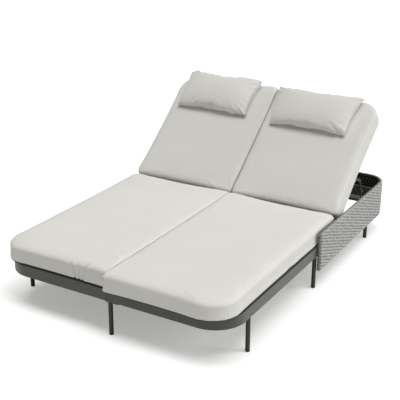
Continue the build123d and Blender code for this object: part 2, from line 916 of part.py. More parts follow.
cushion_base = back_tube / 2
with BuildPart() as back_cushion_left:
    cushion(
        back_plane(-1, cushion_base),
        (-bay_middle - left_back_overhang, back_cushion_start),
        (bay_middle - cushion_mid_gap, back_cushion_end),
        (
            cushion_back_corner,
            cushion_tight_corner,
            cushion_back_corner,
            back_cushion_outer_corner,
        ),
    )
save(back_cushion_left, "back_cushion_left")

with BuildPart() as back_cushion_right:
    cushion(
        back_plane(1, cushion_base),
        (-bay_middle + cushion_mid_gap, back_cushion_start),
        (bay_middle - right_back_side_inset, back_cushion_end),
        (
            cushion_tight_corner,
            cushion_back_corner,
            back_cushion_outer_corner,
            cushion_back_corner,
        ),
    )
save(back_cushion_right, "back_cushion_right")

# Head pillows with pinched corners, lying on the back cushions
pillow_width = pillow_width_share * bay_middle * 2
for side, pillow_place in ((-1, left_pillow_place), (1, right_pillow_place)):
    with BuildPart() as head_pillow:
        pillow_base = back_plane(side, cushion_base + cushion_thickness)
        centre_u, centre_v = pillow_place
        low_corner = (centre_u - pillow_width / 2, centre_v - pillow_length / 2)
        high_corner = (centre_u + pillow_width / 2, centre_v + pillow_length / 2)
        pillow_radii = (pillow_corner, pillow_corner, pillow_corner, pillow_corner)
        for height_share, edge_share, crown_share in pillow_section_shares:
            inset = edge_share * pillow_edge + crown_share * pillow_crown_inset
            with BuildSketch(pillow_base.offset(height_share * pillow_thickness)):
                padded_outline(low_corner, high_corner, pillow_radii, pillow_side_draw, inset)
        loft(ruled=True)
    save(head_pillow, f"head_pillow_{side_name(side)}")
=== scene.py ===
"""Looks of the double chaise lounger: simulated cushions and pillows, a woven rope band, coated metal.

Metres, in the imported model's frame. The camera stood at the front right, 5.3 m from its middle.
"""
import json
import math

import bmesh
import bpy
import numpy as np
from mathutils import Matrix, Vector, noise
from mathutils.kdtree import KDTree


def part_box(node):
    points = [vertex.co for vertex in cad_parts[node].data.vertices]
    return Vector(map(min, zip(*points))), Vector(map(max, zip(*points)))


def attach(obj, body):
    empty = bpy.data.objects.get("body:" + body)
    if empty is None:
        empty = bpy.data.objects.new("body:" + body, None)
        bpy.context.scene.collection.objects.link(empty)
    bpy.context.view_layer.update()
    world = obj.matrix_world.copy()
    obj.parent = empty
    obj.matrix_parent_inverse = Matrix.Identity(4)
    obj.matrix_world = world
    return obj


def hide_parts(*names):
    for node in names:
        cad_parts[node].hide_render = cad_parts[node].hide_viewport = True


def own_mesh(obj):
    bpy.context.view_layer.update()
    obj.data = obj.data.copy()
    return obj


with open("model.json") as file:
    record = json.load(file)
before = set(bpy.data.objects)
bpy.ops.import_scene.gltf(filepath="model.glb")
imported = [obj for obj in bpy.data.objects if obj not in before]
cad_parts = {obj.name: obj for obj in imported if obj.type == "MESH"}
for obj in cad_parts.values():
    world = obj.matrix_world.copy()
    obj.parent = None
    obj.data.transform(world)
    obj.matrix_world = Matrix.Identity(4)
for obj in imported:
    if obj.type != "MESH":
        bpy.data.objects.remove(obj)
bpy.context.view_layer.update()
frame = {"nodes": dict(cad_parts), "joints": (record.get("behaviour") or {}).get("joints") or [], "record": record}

# Places read from the frame
SIDES = ("left", "right")
SEAM_X = (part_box("centre_rail_left")[1].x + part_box("centre_rail_right")[0].x) / 2
DECK_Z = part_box("seat_slats_left")[1].z
BAND_LOW, BAND_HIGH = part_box("woven_band")
BAND_THICK = BAND_HIGH.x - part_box("side_rail_right")[1].x
HINGES = {
    side: next(joint for joint in frame["joints"] if joint["name"] == f"back_recline_{side}")
    for side in SIDES
}

# Directions: up, rearwards, and up along and out of a back as it leans at rest
UP = np.array((0.0, 0.0, 1.0))
REARWARDS = np.array((0.0, 1.0, 0.0))
LEAN = math.radians(39)
BACK_UP = Vector((0, math.cos(LEAN), math.sin(LEAN)))
BACK_OUT = Vector((0, -math.sin(LEAN), math.cos(LEAN)))

# Cushions: an even mesh of the CAD form
CUSHION_VOXEL = 0.012
WELD_DISTANCE = 0.0001
SOFTEN_FACTOR = 0.5
SOFTEN_ROUNDS = 3

# Cushions: the cloth that blows them up, and how far a point may move
SIM_FRAMES = 20
CLOTH_QUALITY = 5
CLOTH_MASS = 0.35
CLOTH_STIFFNESS = 20
CUSHION_BENDING = 0.4
CUSHION_PRESSURE = 2.0
CUSHION_EASE = -0.004
CUSHION_CAP = 0.007

# Cushions: the boxed rim, lifted by how far it lies inside the side and above the base
CUSHION_THICKNESS = 0.1
CUSHION_BASE = 0.010
RIM_INSETS = (0.0, 0.015, 0.062, 0.134)
RIM_LIFTS = (0.010, 0.0075, 0.002, 0.0)
SIDE_SHARES = (0.25, 0.6)
LIFT_START_SHARE = 0.15
LIFT_SPAN_SHARE = 0.5

# Cushions: edges filled out to a square section, less on top away from the neighbour
CORNER_FILLS = (0.015, 0.012)
TOP_FACING = 0.1
FAR_TOP_LOSS = 0.5
FILL_FADE_START = 0.06
FILL_FADE_SPAN = 0.2

# Cushions: how they lie against the deck, the frames and each other
REST_GAP = 0.0003
SEAT_GAP = 0.0022
BACK_GAP = 0.0034
PRESS_REACH = 0.12
SEAT_SEAM_PRESS = 0.024
BACK_SEAM_PRESS = 0.013
SEAT_END_PRESS = 0.008
SEAT_END_WALL = 0.2612
BACK_FOOT_PRESS = 0.006
BACK_FOOT_WALL = 0.2672
SEAT_SIDE_SWELLS = {"left": -0.006, "right": 0.005}
BACK_SIDE_SWELL = 0.004
BACK_TOP_SWELL = 0.011
INNER_CORNER_RISE = 0.015
INNER_CORNER_REACH = 0.25

# Cushions: soft unevenness, the painted shade line along the seats' lowest edge, and the pinches in the left front
# face
RIPPLE = 0.0022
SEAT_RIPPLES_PER_METRE = 2.6
BACK_RIPPLES_PER_METRE = 2.9
# Painted shade: the seat cushions are darkened up to this height above the deck
SEAT_SHADE_LINE_HEIGHT = 0.0095
PUCKER_SHARES = (0.695, 0.75, 0.80)
PUCKER_WIDTH = 0.0085
PUCKER_DEPTH = 0.010
PUCKER_REACH = 0.03
PUCKER_FAN = 0.35
PUCKER_SPREAD = 0.04
FOLD_SHARE = 0.5
FOLD_SHIFT = 1.8

# Pillows: the sewn bag and its filling
PILLOW_GRID = 0.0075
PILLOW_PRESSURE = 1.5
PILLOW_EASE = -0.03
PILLOW_BENDING = 0.06
PILLOW_CAP = 0.010
PILLOW_REST_GAP = 0.0005
PILLOW_RIM_SHARE = 0.26
PILLOW_TAPERS = {"left": (0.975, 0.025), "right": (1.01, 0.07)}
PILLOW_SIDE_DRAW = 0.035
PILLOW_END_DRAW = 0.02
DOME_POWERS = (3, 2.4)

# Pillows: folds that run in from the seam, and the wavy edge
CREASE_DEPTH = 0.026
CREASE_SHARES = (0.6, 0.9)
CREASE_REACH = 0.026
CORNER_REACH = 0.055
CREASE_TURNS = 14.0
CREASE_DRIFT = 7
SEAM_HOLD = 0.005
EDGE_WAVE = 0.016
EDGE_TURNS = 4.2
EDGE_REACH = 0.03
CREASE_SHIFTS = {"left": 4.7, "right": 0.0}

# Band: its plan and edges
BAND_BEND = 0.125
BAND_ROUND = 0.012
BAND_STEP = 0.0092
BACK_RISE = 0.044

# Band: the rope and how it passes the stakes
ROPE_RADIUS = 0.0031
ROPE_PITCH = 0.0062
ROPE_SIDES = 5
STAKE_PITCH = 0.017
STAKES_PER_WAVE = 3
STAKE_RADIUS = 0.0025
STAKE_SIDES = 8
WEAVE_SWING = 0.0028
EDGE_SWING_SHARE = 0.2
DIVE_POWER = 1.7
WEAVE_DRIFT = 1.4
DRIFT_PER_METRE = 14
DRIFT_PER_ROW = 0.6

# Band: how much of the dark inside colour a rope takes, from 0 outside to 1 inside; the band's rounded ends and
# top rows take some of it as painted shade
OUTSIDE = 0
INSIDE = 1
# Painted shade on the band's rounded ends and on its top rows
END_PAINTED_SHADE = 0.4
TOP_PAINTED_SHADES = ((0.3, 0.55), (0.0, 0.8))
ROW_TONES = (0.0, 1.0)

# Band: the small lashings inside it
KNOT_RADIUS = 0.0024
KNOT_PITCH = 0.024
KNOT_DROPS = (0.030, 0.048, 0.066)
KNOT_SINK_SHARE = 0.35

# Colours
CUSHION_COLOUR = (0.70, 0.69, 0.655)
COAT_COLOUR = (0.061, 0.063, 0.055)
# Painted shade: the frame coat darkened for the legs and props, which stand in shade
PAINTED_SHADE_COAT_COLOUR = (0.020, 0.021, 0.019)
STAKE_COLOUR = (0.02, 0.02, 0.02)
STEEL_COLOUR = (0.46, 0.46, 0.45)
FOOT_COLOUR = (0.02, 0.02, 0.02)
ROPE_COLOUR = (0.74, 0.735, 0.72)
ROPE_INSIDE_COLOUR = (0.022, 0.022, 0.020)
LASHING_COLOUR = (0.55, 0.55, 0.53)
FLOOR_COLOUR = (0.86, 0.86, 0.845)
FLOOR_GLOW_COLOUR = (1, 1, 0.985)
ROOM_COLOUR = (1, 1, 0.99)

# Rope: painted shade where it dives behind the stakes, and its twisted lay
DIVE_SHADE = 0.42
LAY_TURNS_PER_METRE = 160.0
LAY_STRANDS = 3.0

# Room, with the lamps as name, direction of the source, width in degrees and strength
FLOOR_REACH = 40
FLOOR_GLOW = 0.34
ROOM_LIGHT = 0.18
LAMPS = (
    ("overhead_left", (-0.14, -0.06, 1), 30, 1.05),
    ("overhead_right", (0.36, -0.06, 1), 30, 1.29),
    ("right_softbox", (1, 0.48, 0.45), 25, 1.15),
)

# Camera
CAMERA_PLACE = Vector((2.434561, -4.272333, 2.35452))
CAMERA_YAW = 0.529653
CAMERA_PITCH = 0.379634
CAMERA_ROLL = 0.004784
CAMERA_LENS = 81.0
CAMERA_SENSOR = 36


# Materials
class Shader:
    """A material with one Principled shader, and short calls to add and link nodes."""

    def __init__(self, name, **constants):
        self.material = bpy.data.materials.new(name)
        self.material.use_nodes = True
        self.tree = self.material.node_tree
        self.surface = self.tree.nodes["Principled BSDF"]
        for socket, value in constants.items():
            self.surface.inputs[socket.replace("_", " ")].default_value = value

    def node(self, kind, **settings):
        made = self.tree.nodes.new(kind)
        for key, value in settings.items():
            setattr(made, key, value)
        return made

    def link(self, source, target):
        self.tree.links.new(source, target)

    def group(self, tree, **values):
        made = self.node("ShaderNodeGroup", node_tree=tree)
        for key, value in values.items():
            made.inputs[key.replace("_", " ")].default_value = value
        return made

    def bump(self, height, distance, strength):
        made = self.node("ShaderNodeBump")
        made.inputs["Distance"].default_value = distance
        made.inputs["Strength"].default_value = strength
        self.link(height, made.inputs["Height"])
        self.link(made.outputs["Normal"], self.surface.inputs["Normal"])


def new_group(name, inputs, outputs):
    """An empty shader group with named sockets, and its input and output nodes."""
    tree = bpy.data.node_groups.new(name, "ShaderNodeTree")
    for label, kind, value in inputs:
        socket = tree.interface.new_socket(label, in_out="INPUT", socket_type=kind)
        socket.default_value = value
    for label, kind in outputs:
        tree.interface.new_socket(label, in_out="OUTPUT", socket_type=kind)
    return tree, tree.nodes.new("NodeGroupInput"), tree.nodes.new("NodeGroupOutput")


def math_node(tree, operation, first, second=None):
    """The output of a math node, whose inputs are numbers or other nodes' outputs."""
    made = tree.nodes.new("ShaderNodeMath")
    made.operation = operation
    for index, value in enumerate((first, second)):
        if value is None:
            continue
        if isinstance(value, (int, float)):
            made.inputs[index].default_value = value
        else:
            tree.links.new(value, made.inputs[index])
    return made.outputs[0]


def mixed_colour(tree, factor, first, second):
    """The output of a colour mix of two other nodes' outputs."""
    made = tree.nodes.new("ShaderNodeMix")
    made.data_type = "RGBA"
    tree.links.new(factor, made.inputs["Factor"])
    tree.links.new(first, made.inputs["A"])
    tree.links.new(second, made.inputs["B"])
    return made.outputs["Result"]


def scaled_colour(tree, colour, share):
    """The output of a colour made lighter or darker, both from other nodes' outputs."""
    made = tree.nodes.new("ShaderNodeVectorMath")
    made.operation = "SCALE"
    tree.links.new(colour, made.inputs[0])
    tree.links.new(share, made.inputs["Scale"])
    return made.outputs[0]


def object_place(tree):
    """The place of a point in the object's own coordinates."""
    return tree.nodes.new("ShaderNodeTexCoord").outputs["Object"]


def object_noise(tree, scale, detail):
    """The output of a noise over the object."""
    made = tree.nodes.new("ShaderNodeTexNoise")
    made.inputs["Detail"].default_value = detail
    tree.links.new(object_place(tree), made.inputs["Vector"])
    tree.links.new(scale, made.inputs["Scale"])
    return made.outputs["Fac"]


def mottle_group():
    """Colour that drifts a little over the surface, and a fine grain for height."""
    tree, given, result = new_group(
        "mottle",
        (
            ("Colour", "NodeSocketColor", (0.5, 0.5, 0.5, 1)),
            ("Drift", "NodeSocketFloat", 0.06),
            ("Patch Scale", "NodeSocketFloat", 6.0),
            ("Grain Scale", "NodeSocketFloat", 400.0),
        ),
        (("Colour", "NodeSocketColor"), ("Grain", "NodeSocketFloat")),
    )
    grain_share = 0.6
    patches = object_noise(tree, given.outputs["Patch Scale"], detail=4)
    grain = object_noise(tree, given.outputs["Grain Scale"], detail=2)
    swing = math_node(tree, "SUBTRACT", patches, 0.5)
    fine = math_node(tree, "SUBTRACT", grain, 0.5)
    both = math_node(tree, "ADD", swing, math_node(tree, "MULTIPLY", fine, grain_share))
    factor = math_node(tree, "MULTIPLY", both, given.outputs["Drift"])
    bright = math_node(tree, "ADD", math_node(tree, "MULTIPLY", factor, 2.0), 1.0)
    colour = scaled_colour(tree, given.outputs["Colour"], bright)
    tree.links.new(colour, result.inputs["Colour"])
    tree.links.new(grain, result.inputs["Grain"])
    return tree


def weave_group():
    """Height of a plain cloth weave, threads along X and along the slope."""
    tree, given, result = new_group(
        "cloth_weave",
        (("Threads Per Metre", "NodeSocketFloat", 450.0),),
        (("Height", "NodeSocketFloat"),),
    )
    split = tree.nodes.new("ShaderNodeSeparateXYZ")
    tree.links.new(object_place(tree), split.inputs[0])
    slope = math_node(tree, "ADD", split.outputs["Y"], split.outputs["Z"])
    waves = []
    for source in (split.outputs["X"], slope):
        turns = math_node(tree, "MULTIPLY", source, given.outputs["Threads Per Metre"])
        waves.append(math_node(tree, "SINE", math_node(tree, "MULTIPLY", turns, math.pi)))
    tree.links.new(math_node(tree, "MULTIPLY", *waves), result.inputs["Height"])
    return tree


def edge_amount(tree, radius, flat_turn, gain):
    """From 0 on flat faces up to 1 and more on edges sharper than the radius."""
    rounded = tree.nodes.new("ShaderNodeBevel")
    rounded.samples = 4
    rounded.inputs["Radius"].default_value = radius
    true = tree.nodes.new("ShaderNodeNewGeometry")
    turn = tree.nodes.new("ShaderNodeVectorMath")
    turn.operation = "DOT_PRODUCT"
    tree.links.new(rounded.outputs["Normal"], turn.inputs[0])
    tree.links.new(true.outputs["Normal"], turn.inputs[1])
    return math_node(tree, "MULTIPLY", math_node(tree, "SUBTRACT", flat_turn, turn.outputs["Value"]), gain)


def wear_group():
    """Shows a lighter, rougher coat in patches along the edges."""
    tree, given, result = new_group(
        "edge_wear",
        (
            ("Colour", "NodeSocketColor", (0.1, 0.1, 0.1, 1)),
            ("Worn Colour", "NodeSocketColor", (0.2, 0.2, 0.2, 1)),
            ("Roughness", "NodeSocketFloat", 0.42),
            ("Worn Roughness", "NodeSocketFloat", 0.7),
            ("Patch Scale", "NodeSocketFloat", 40.0),
        ),
        (("Colour", "NodeSocketColor"), ("Roughness", "NodeSocketFloat")),
    )
    patch_level = 0.42
    patch_gain = 4
    edge = edge_amount(tree, radius=0.0015, flat_turn=0.99, gain=8)
    patches = object_noise(tree, given.outputs["Patch Scale"], detail=3)
    above = math_node(tree, "SUBTRACT", patches, patch_level)
    patch = math_node(tree, "MULTIPLY", above, patch_gain)
    amount = math_node(tree, "MULTIPLY", edge, patch)
    amount.node.use_clamp = True
    colour = mixed_colour(tree, amount, given.outputs["Colour"], given.outputs["Worn Colour"])
    tree.links.new(colour, result.inputs["Colour"])
    rough = tree.nodes.new("ShaderNodeMix")
    tree.links.new(amount, rough.inputs["Factor"])
    tree.links.new(given.outputs["Roughness"], rough.inputs["A"])
    tree.links.new(given.outputs["Worn Roughness"], rough.inputs["B"])
    tree.links.new(rough.outputs["Result"], result.inputs["Roughness"])
    return tree


def shade_line_group():
    """Paints a dark shade line along the lowest edge of a seat cushion, where it meets the deck and the frame."""
    tree, given, result = new_group(
        "dark_base",
        (
            ("Colour", "NodeSocketColor", (0.5, 0.5, 0.5, 1)),
            ("Shade Colour", "NodeSocketColor", (0.02, 0.02, 0.02, 1)),
            ("Height", "NodeSocketFloat", 0.26),
        ),
        (("Colour", "NodeSocketColor"),),
    )
    edge_blur = 0.002
    split = tree.nodes.new("ShaderNodeSeparateXYZ")
    tree.links.new(object_place(tree), split.inputs[0])
    above = math_node(tree, "SUBTRACT", split.outputs["Z"], given.outputs["Height"])
    amount = tree.nodes.new("ShaderNodeMapRange")
    amount.inputs["From Min"].default_value = edge_blur
    amount.inputs["From Max"].default_value = -edge_blur
    tree.links.new(above, amount.inputs["Value"])
    sockets = (amount.outputs["Result"], given.outputs["Colour"], given.outputs["Shade Colour"])
    tree.links.new(mixed_colour(tree, *sockets), result.inputs["Colour"])
    return tree


MOTTLE = mottle_group()
WEAVE = weave_group()
WEAR = wear_group()
PAINTED_SHADE_LINE = shade_line_group()


def cloth(name, colour, shade_line_height=None):
    """Outdoor cushion fabric: matt, softly mottled, with a fine plain weave, and a painted shade line along its
    lowest edge when given a height.
    """
    shader = Shader(
        name, Roughness=0.88, Sheen_Weight=0.12, Sheen_Roughness=0.6, Specular_IOR_Level=0.25
    )
    tint = shader.group(MOTTLE, Colour=(*colour, 1), Drift=0.035, Patch_Scale=5.0, Grain_Scale=260)
    threads = shader.group(WEAVE, Threads_Per_Metre=520.0)
    cover = tint.outputs["Colour"]
    if shade_line_height:
        edge = shader.group(PAINTED_SHADE_LINE, Height=shade_line_height)
        shader.link(cover, edge.inputs["Colour"])
        cover = edge.outputs["Colour"]
    shader.link(cover, shader.surface.inputs["Base Color"])
    shader.bump(threads.outputs["Height"], distance=0.0003, strength=0.5)
    return shader.material


def powder_coat(name, colour):
    """Matt dark powder coat with a faint orange peel, rubbed a little along its edges."""
    shader = Shader(name, Sheen_Weight=0.3, Sheen_Roughness=0.4)
    worn_gain = 1.7
    tint = shader.group(MOTTLE, Colour=(*colour, 1), Drift=0.10, Patch_Scale=9.0, Grain_Scale=900)
    worn = shader.group(WEAR, Worn_Colour=(*(worn_gain * part for part in colour), 1))
    shader.link(tint.outputs["Colour"], worn.inputs["Colour"])
    shader.link(worn.outputs["Colour"], shader.surface.inputs["Base Color"])
    shader.link(worn.outputs["Roughness"], shader.surface.inputs["Roughness"])
    shader.bump(tint.outputs["Grain"], distance=0.0002, strength=0.5)
    return shader.material


def satin_steel(name, colour):
    """Satin steel of the pins, bolts and prop rods, finely grained."""
    shader = Shader(name, Metallic=1.0)
    tint = shader.group(MOTTLE, Colour=(*colour, 1), Drift=0.12, Patch_Scale=20.0, Grain_Scale=1400)
    spread = shader.node("ShaderNodeMapRange")
    spread.inputs["To Min"].default_value = 0.28
    spread.inputs["To Max"].default_value = 0.48
    shader.link(tint.outputs["Grain"], spread.inputs["Value"])
    shader.link(tint.outputs["Colour"], shader.surface.inputs["Base Color"])
    shader.link(spread.outputs["Result"], shader.surface.inputs["Roughness"])
    return shader.material


def moulded(name, colour):
    """Black moulded plastic of the feet."""
    shader = Shader(name, Roughness=0.6)
    tint = shader.group(MOTTLE, Colour=(*colour, 1), Drift=0.15, Patch_Scale=30.0)
    shader.link(tint.outputs["Colour"], shader.surface.inputs["Base Color"])
    shader.bump(tint.outputs["Grain"], distance=0.0003, strength=0.6)
    return shader.material


def mark(shader, name):
    """What a mesh attribute holds, for a pattern that follows the rope."""
    return shader.node("ShaderNodeAttribute", attribute_name=name).outputs["Fac"]


def rope_material(name, outside, inside):
    """Melange rope with a twisted lay, dark where the weave faces inwards, with painted shade on the band's ends
    and top rows and where the rope dives behind the stakes.
    """
    shader = Shader(name, Roughness=0.8)
    tree = shader.tree
    tint = shader.group(MOTTLE, Colour=(*outside, 1), Drift=0.6, Patch_Scale=110.0, Grain_Scale=330)
    mix = shader.node("ShaderNodeMix", data_type="RGBA")
    mix.inputs["B"].default_value = (*inside, 1)
    # The inner mark also carries the painted shade of the band's ends and top rows
    shader.link(mark(shader, "inner"), mix.inputs["Factor"])
    shader.link(tint.outputs["Colour"], mix.inputs["A"])
    # Painted shade where the rope dives behind the stakes
    dark = math_node(tree, "MULTIPLY", mark(shader, "dive"), DIVE_SHADE)
    shade = math_node(tree, "SUBTRACT", 1.0, dark)
    cover = scaled_colour(tree, mix.outputs["Result"], shade)
    shader.link(cover, shader.surface.inputs["Base Color"])
    runs = math_node(tree, "MULTIPLY", mark(shader, "along"), LAY_TURNS_PER_METRE)
    turns = math_node(tree, "MULTIPLY", mark(shader, "around"), LAY_STRANDS)
    lay = math_node(tree, "ADD", runs, turns)
    strands = math_node(tree, "SINE", math_node(tree, "MULTIPLY", lay, math.tau))
    shader.bump(strands, distance=0.0006, strength=0.8)
    return shader.material


FINISHES = {
    "frame_coat": powder_coat("anthracite_coat", COAT_COLOUR),
    "steel": satin_steel("satin_steel", STEEL_COLOUR),
    "glide": moulded("black_feet", FOOT_COLOUR),
}
# The seat cloth carries a painted shade line along the cushions' lowest edge
SEAT_CLOTH = cloth("seat_cloth", CUSHION_COLOUR, DECK_Z + SEAT_SHADE_LINE_HEIGHT)
BACK_CLOTH = cloth("back_cloth", CUSHION_COLOUR)
PILLOW_CLOTH = cloth("pillow_cloth", CUSHION_COLOUR)
ROPE = rope_material("melange_rope", ROPE_COLOUR, ROPE_INSIDE_COLOUR)
STAKE_COAT = powder_coat("stake_coat", STAKE_COLOUR)
# Painted shade: the same coat, darkened, for the legs and the props
PAINTED_SHADE_COAT = powder_coat("leg_coat", PAINTED_SHADE_COAT_COLOUR)
LASHING = cloth("lashing_cord", LASHING_COLOUR)


def finish_metal():
    """Gives the CAD nodes their finishes; the legs and the props get the frame coat darkened with painted shade.
    """
    slots = {row["node"]: row["material_slot"] for row in frame["record"]["subparts"]}
    in_painted_shade = ("leg_front", "leg_middle", "leg_rear", "prop_bars", "prop_racks")
    for name, node in frame["nodes"].items():
        finish = FINISHES.get(slots[name])
        if finish and name.startswith(in_painted_shade):
            finish = PAINTED_SHADE_COAT
        if finish:
            node.data.materials.clear()
            node.data.materials.append(finish)


# Shared mesh work
def link_object(name, mesh, material=None):
    made = bpy.data.objects.new(name, mesh)
    bpy.context.scene.collection.objects.link(made)
    if material:
        mesh.materials.clear()
        mesh.materials.append(material)
    return made


def coordinates(mesh):
    flat = np.empty(len(mesh.vertices) * 3)
    mesh.vertices.foreach_get("co", flat)
    return flat.reshape(-1, 3)


def set_coordinates(mesh, places):
    mesh.vertices.foreach_set("co", np.asarray(places, float).ravel())
    mesh.update()


def vertex_normals(mesh):
    flat = np.empty(len(mesh.vertices) * 3)
    mesh.vertex_normals.foreach_get("vector", flat)
    return flat.reshape(-1, 3)


def bake_modifiers(piece):
    """Replaces the piece's mesh with the result of its modifiers."""
    graph = bpy.context.evaluated_depsgraph_get()
    result = bpy.data.meshes.new_from_object(piece.evaluated_get(graph))
    piece.modifiers.clear()
    piece.data = result
    return piece


def smooth(piece):
    for face in piece.data.polygons:
        face.use_smooth = True


def subdivided(piece, places):
    """Moves the piece's points to their places and divides it once."""
    set_coordinates(piece.data, places)
    divide = piece.modifiers.new("divide", "SUBSURF")
    divide.levels = divide.render_levels = 1
    return bake_modifiers(piece)


def smoothstep(value):
    value = np.clip(value, 0, 1)
    return value * value * (3 - 2 * value)


# Cloth
def add_cloth(piece, bending, pressure, ease):
    """Cloth without gravity, blown up from inside, its cover cut with some ease."""
    modifier = piece.modifiers.new("cloth", "CLOTH")
    modifier.point_cache.frame_end = SIM_FRAMES
    settings = modifier.settings
    settings.quality = CLOTH_QUALITY
    settings.mass = CLOTH_MASS
    settings.effector_weights.gravity = 0
    settings.tension_stiffness = CLOTH_STIFFNESS
    settings.compression_stiffness = CLOTH_STIFFNESS
    settings.bending_stiffness = bending
    settings.use_pressure = True
    settings.uniform_pressure_force = pressure
    settings.shrink_min = ease


def settled(piece):
    """Where the piece's points lie after its modifiers."""
    graph = bpy.context.evaluated_depsgraph_get()
    swollen = piece.evaluated_get(graph)
    places = coordinates(swollen.to_mesh())
    swollen.to_mesh_clear()
    return places


def blown_up(pads, bags):
    """Where every point of the pads and bags starts and ends, all solved side by side."""
    starts = {piece: coordinates(piece.data) for piece in (*pads, *bags)}
    for piece in pads:
        add_cloth(piece, CUSHION_BENDING, CUSHION_PRESSURE, CUSHION_EASE)
    for piece in bags:
        add_cloth(piece, PILLOW_BENDING, PILLOW_PRESSURE, PILLOW_EASE)
    for index in range(1, SIM_FRAMES + 1):
        bpy.context.scene.frame_set(index)
    ends = {piece: settled(piece) for piece in starts}
    for piece in starts:
        piece.modifiers.clear()
    bpy.context.scene.frame_set(1)
    return starts, ends


def limited(start, moved, cap):
    """Places moved from start by at most the cap."""
    step = moved - start
    length = np.linalg.norm(step, axis=1, keepdims=True)
    return start + step * np.minimum(1, cap / np.maximum(length, 1e-9))


# Cushions
def back_axes(side):
    """The hinge of a back, and the ways up along it and out of its face."""
    pivot = np.array(HINGES[side]["pos_m"], float)
    return pivot, np.array(BACK_UP), np.array(BACK_OUT)


def cushion_form(name, node):
    """A closed even mesh of the CAD cushion."""
    mesh = frame["nodes"][node].data.copy()
    welded = bmesh.new()
    welded.from_mesh(mesh)
    bmesh.ops.remove_doubles(welded, verts=welded.verts, dist=WELD_DISTANCE)
    welded.to_mesh(mesh)
    welded.free()
    piece = link_object(name, mesh)
    remesh = piece.modifiers.new("voxels", "REMESH")
    remesh.mode = "VOXEL"
    remesh.voxel_size = CUSHION_VOXEL
    soften = piece.modifiers.new("soften", "SMOOTH")
    soften.factor = SOFTEN_FACTOR
    soften.iterations = SOFTEN_ROUNDS
    return bake_modifiers(piece)


def square_up(piece, origin, out):
    """Raises the rim of the top, so that the cushion is boxed and nearly flat."""
    places = coordinates(piece.data)
    heights = (places - origin) @ out
    share = heights / CUSHION_THICKNESS
    plan = places - np.outer(heights, out)
    sides = plan[(share > SIDE_SHARES[0]) & (share < SIDE_SHARES[1])]
    tree = KDTree(len(sides))
    for index, place in enumerate(sides):
        tree.insert(place, index)
    tree.balance()
    inset = np.array([tree.find(place)[2] for place in plan])
    fade = np.clip((share - LIFT_START_SHARE) / LIFT_SPAN_SHARE, 0, 1)
    lift = np.interp(inset, RIM_INSETS, RIM_LIFTS) * fade
    set_coordinates(piece.data, places + np.outer(lift, out))


def ripple(places, normal, turns, share):
    """Moves points along a direction by a slow drift, for the cloth's soft unevenness."""
    shifts = [noise.noise(Vector(place) * turns) for place in places]
    return places + np.outer(shifts, normal) * RIPPLE * share[:, None]


def hold_above(places, origin, direction, least):
    """Flattens points that lie below a plane back on to it."""
    depth = (places - origin) @ direction - least
    return places - np.outer(np.minimum(depth, 0), direction)


def press(places, toward, wall, amount):
    """Swells one side by an amount, and flattens it on a wall where it touches one."""
    toward = np.asarray(toward, float)
    reach = places @ toward
    share = smoothstep(1 - (reach.max() - reach) / PRESS_REACH)
    places = places + np.outer(share * amount, toward)
    if wall is None:
        return places
    return places - np.outer(np.maximum(places @ toward - wall, 0), toward)


def fill_corners(piece, out):
    """Pushes the rounded edges out towards a square section, most near the neighbour."""
    mesh = piece.data
    for most in CORNER_FILLS:
        normals = vertex_normals(mesh)
        distance = np.abs(coordinates(mesh)[:, 0] - SEAM_X)
        upper = smoothstep((normals @ out + TOP_FACING) / (2 * TOP_FACING))
        far = smoothstep((distance - FILL_FADE_START) / FILL_FADE_SPAN)
        amount = most * (1 - FAR_TOP_LOSS * upper * far)
        rise = np.clip(np.abs(normals @ out), 0, 1)
        push = amount * (rise + np.sqrt(1 - rise**2) - 1)
        set_coordinates(mesh, coordinates(mesh) + normals * push[:, None])
    return coordinates(mesh)


def neighbour_wall(side, gap):
    """The way to the neighbouring cushion, and where the two touch along it."""
    way = 1 if side == "left" else -1
    return np.array((way, 0.0, 0.0)), way * SEAM_X - gap


def pucker(places, low, high):
    """Pinches in the front face, fanned out, where the cover is gathered."""
    front = np.clip(1 - (places[:, 1] - low.y) / PUCKER_REACH, 0, 1)
    middle_x = low.x + PUCKER_SHARES[1] * (high.x - low.x)
    above = places[:, 2] - (low.z + high.z) / 2
    for share in PUCKER_SHARES:
        centre = low.x + share * (high.x - low.x)
        fan = PUCKER_FAN * (centre - middle_x) / PUCKER_SPREAD * above
        offset = (places[:, 0] - centre - fan) / PUCKER_WIDTH
        places[:, 1] += PUCKER_DEPTH * np.exp(-(offset**2)) * front
        places[:, 1] -= FOLD_SHARE * PUCKER_DEPTH * np.exp(-((offset - FOLD_SHIFT) ** 2)) * front
    return places


def finish_soft(piece, material, body, node):
    """Gives a soft piece its cover, hides the CAD part it replaces, and attaches it to the body it rides on."""
    piece.data.materials.clear()
    piece.data.materials.append(material)
    smooth(piece)
    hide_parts(node)
    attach(piece, body)


def seat_cushion(side, piece, places):
    """Shapes a blown-up seat pad and lays it on the slats."""
    node = f"seat_cushion_{side}"
    low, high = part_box(node)
    top_share = np.clip((places[:, 2] - DECK_Z) / (high.z - DECK_Z), 0, 1)
    places = ripple(places, UP, SEAT_RIPPLES_PER_METRE, top_share)
    places = fill_corners(subdivided(piece, places), UP)
    if side == "left":
        places = pucker(places, low, high)
    places = hold_above(places, np.array((0, 0, DECK_Z)), UP, REST_GAP)
    inward, wall = neighbour_wall(side, SEAT_GAP)
    places = press(places, inward, wall, SEAT_SEAM_PRESS)
    places = press(places, -inward, None, SEAT_SIDE_SWELLS[side])
    places = press(places, REARWARDS, SEAT_END_WALL, SEAT_END_PRESS)
    set_coordinates(piece.data, places)
    finish_soft(piece, SEAT_CLOTH, "base", node)
    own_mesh(piece)


def raised_inner_corner(places, pivot, up):
    """The back's top corner beside its neighbour, drawn up a little."""
    rise = (places - pivot) @ up
    inner = smoothstep(1 - np.abs(places[:, 0] - SEAM_X) / INNER_CORNER_REACH)
    lift = INNER_CORNER_RISE * inner * smoothstep(1 - (rise.max() - rise) / PRESS_REACH)
    return places + np.outer(lift, up)


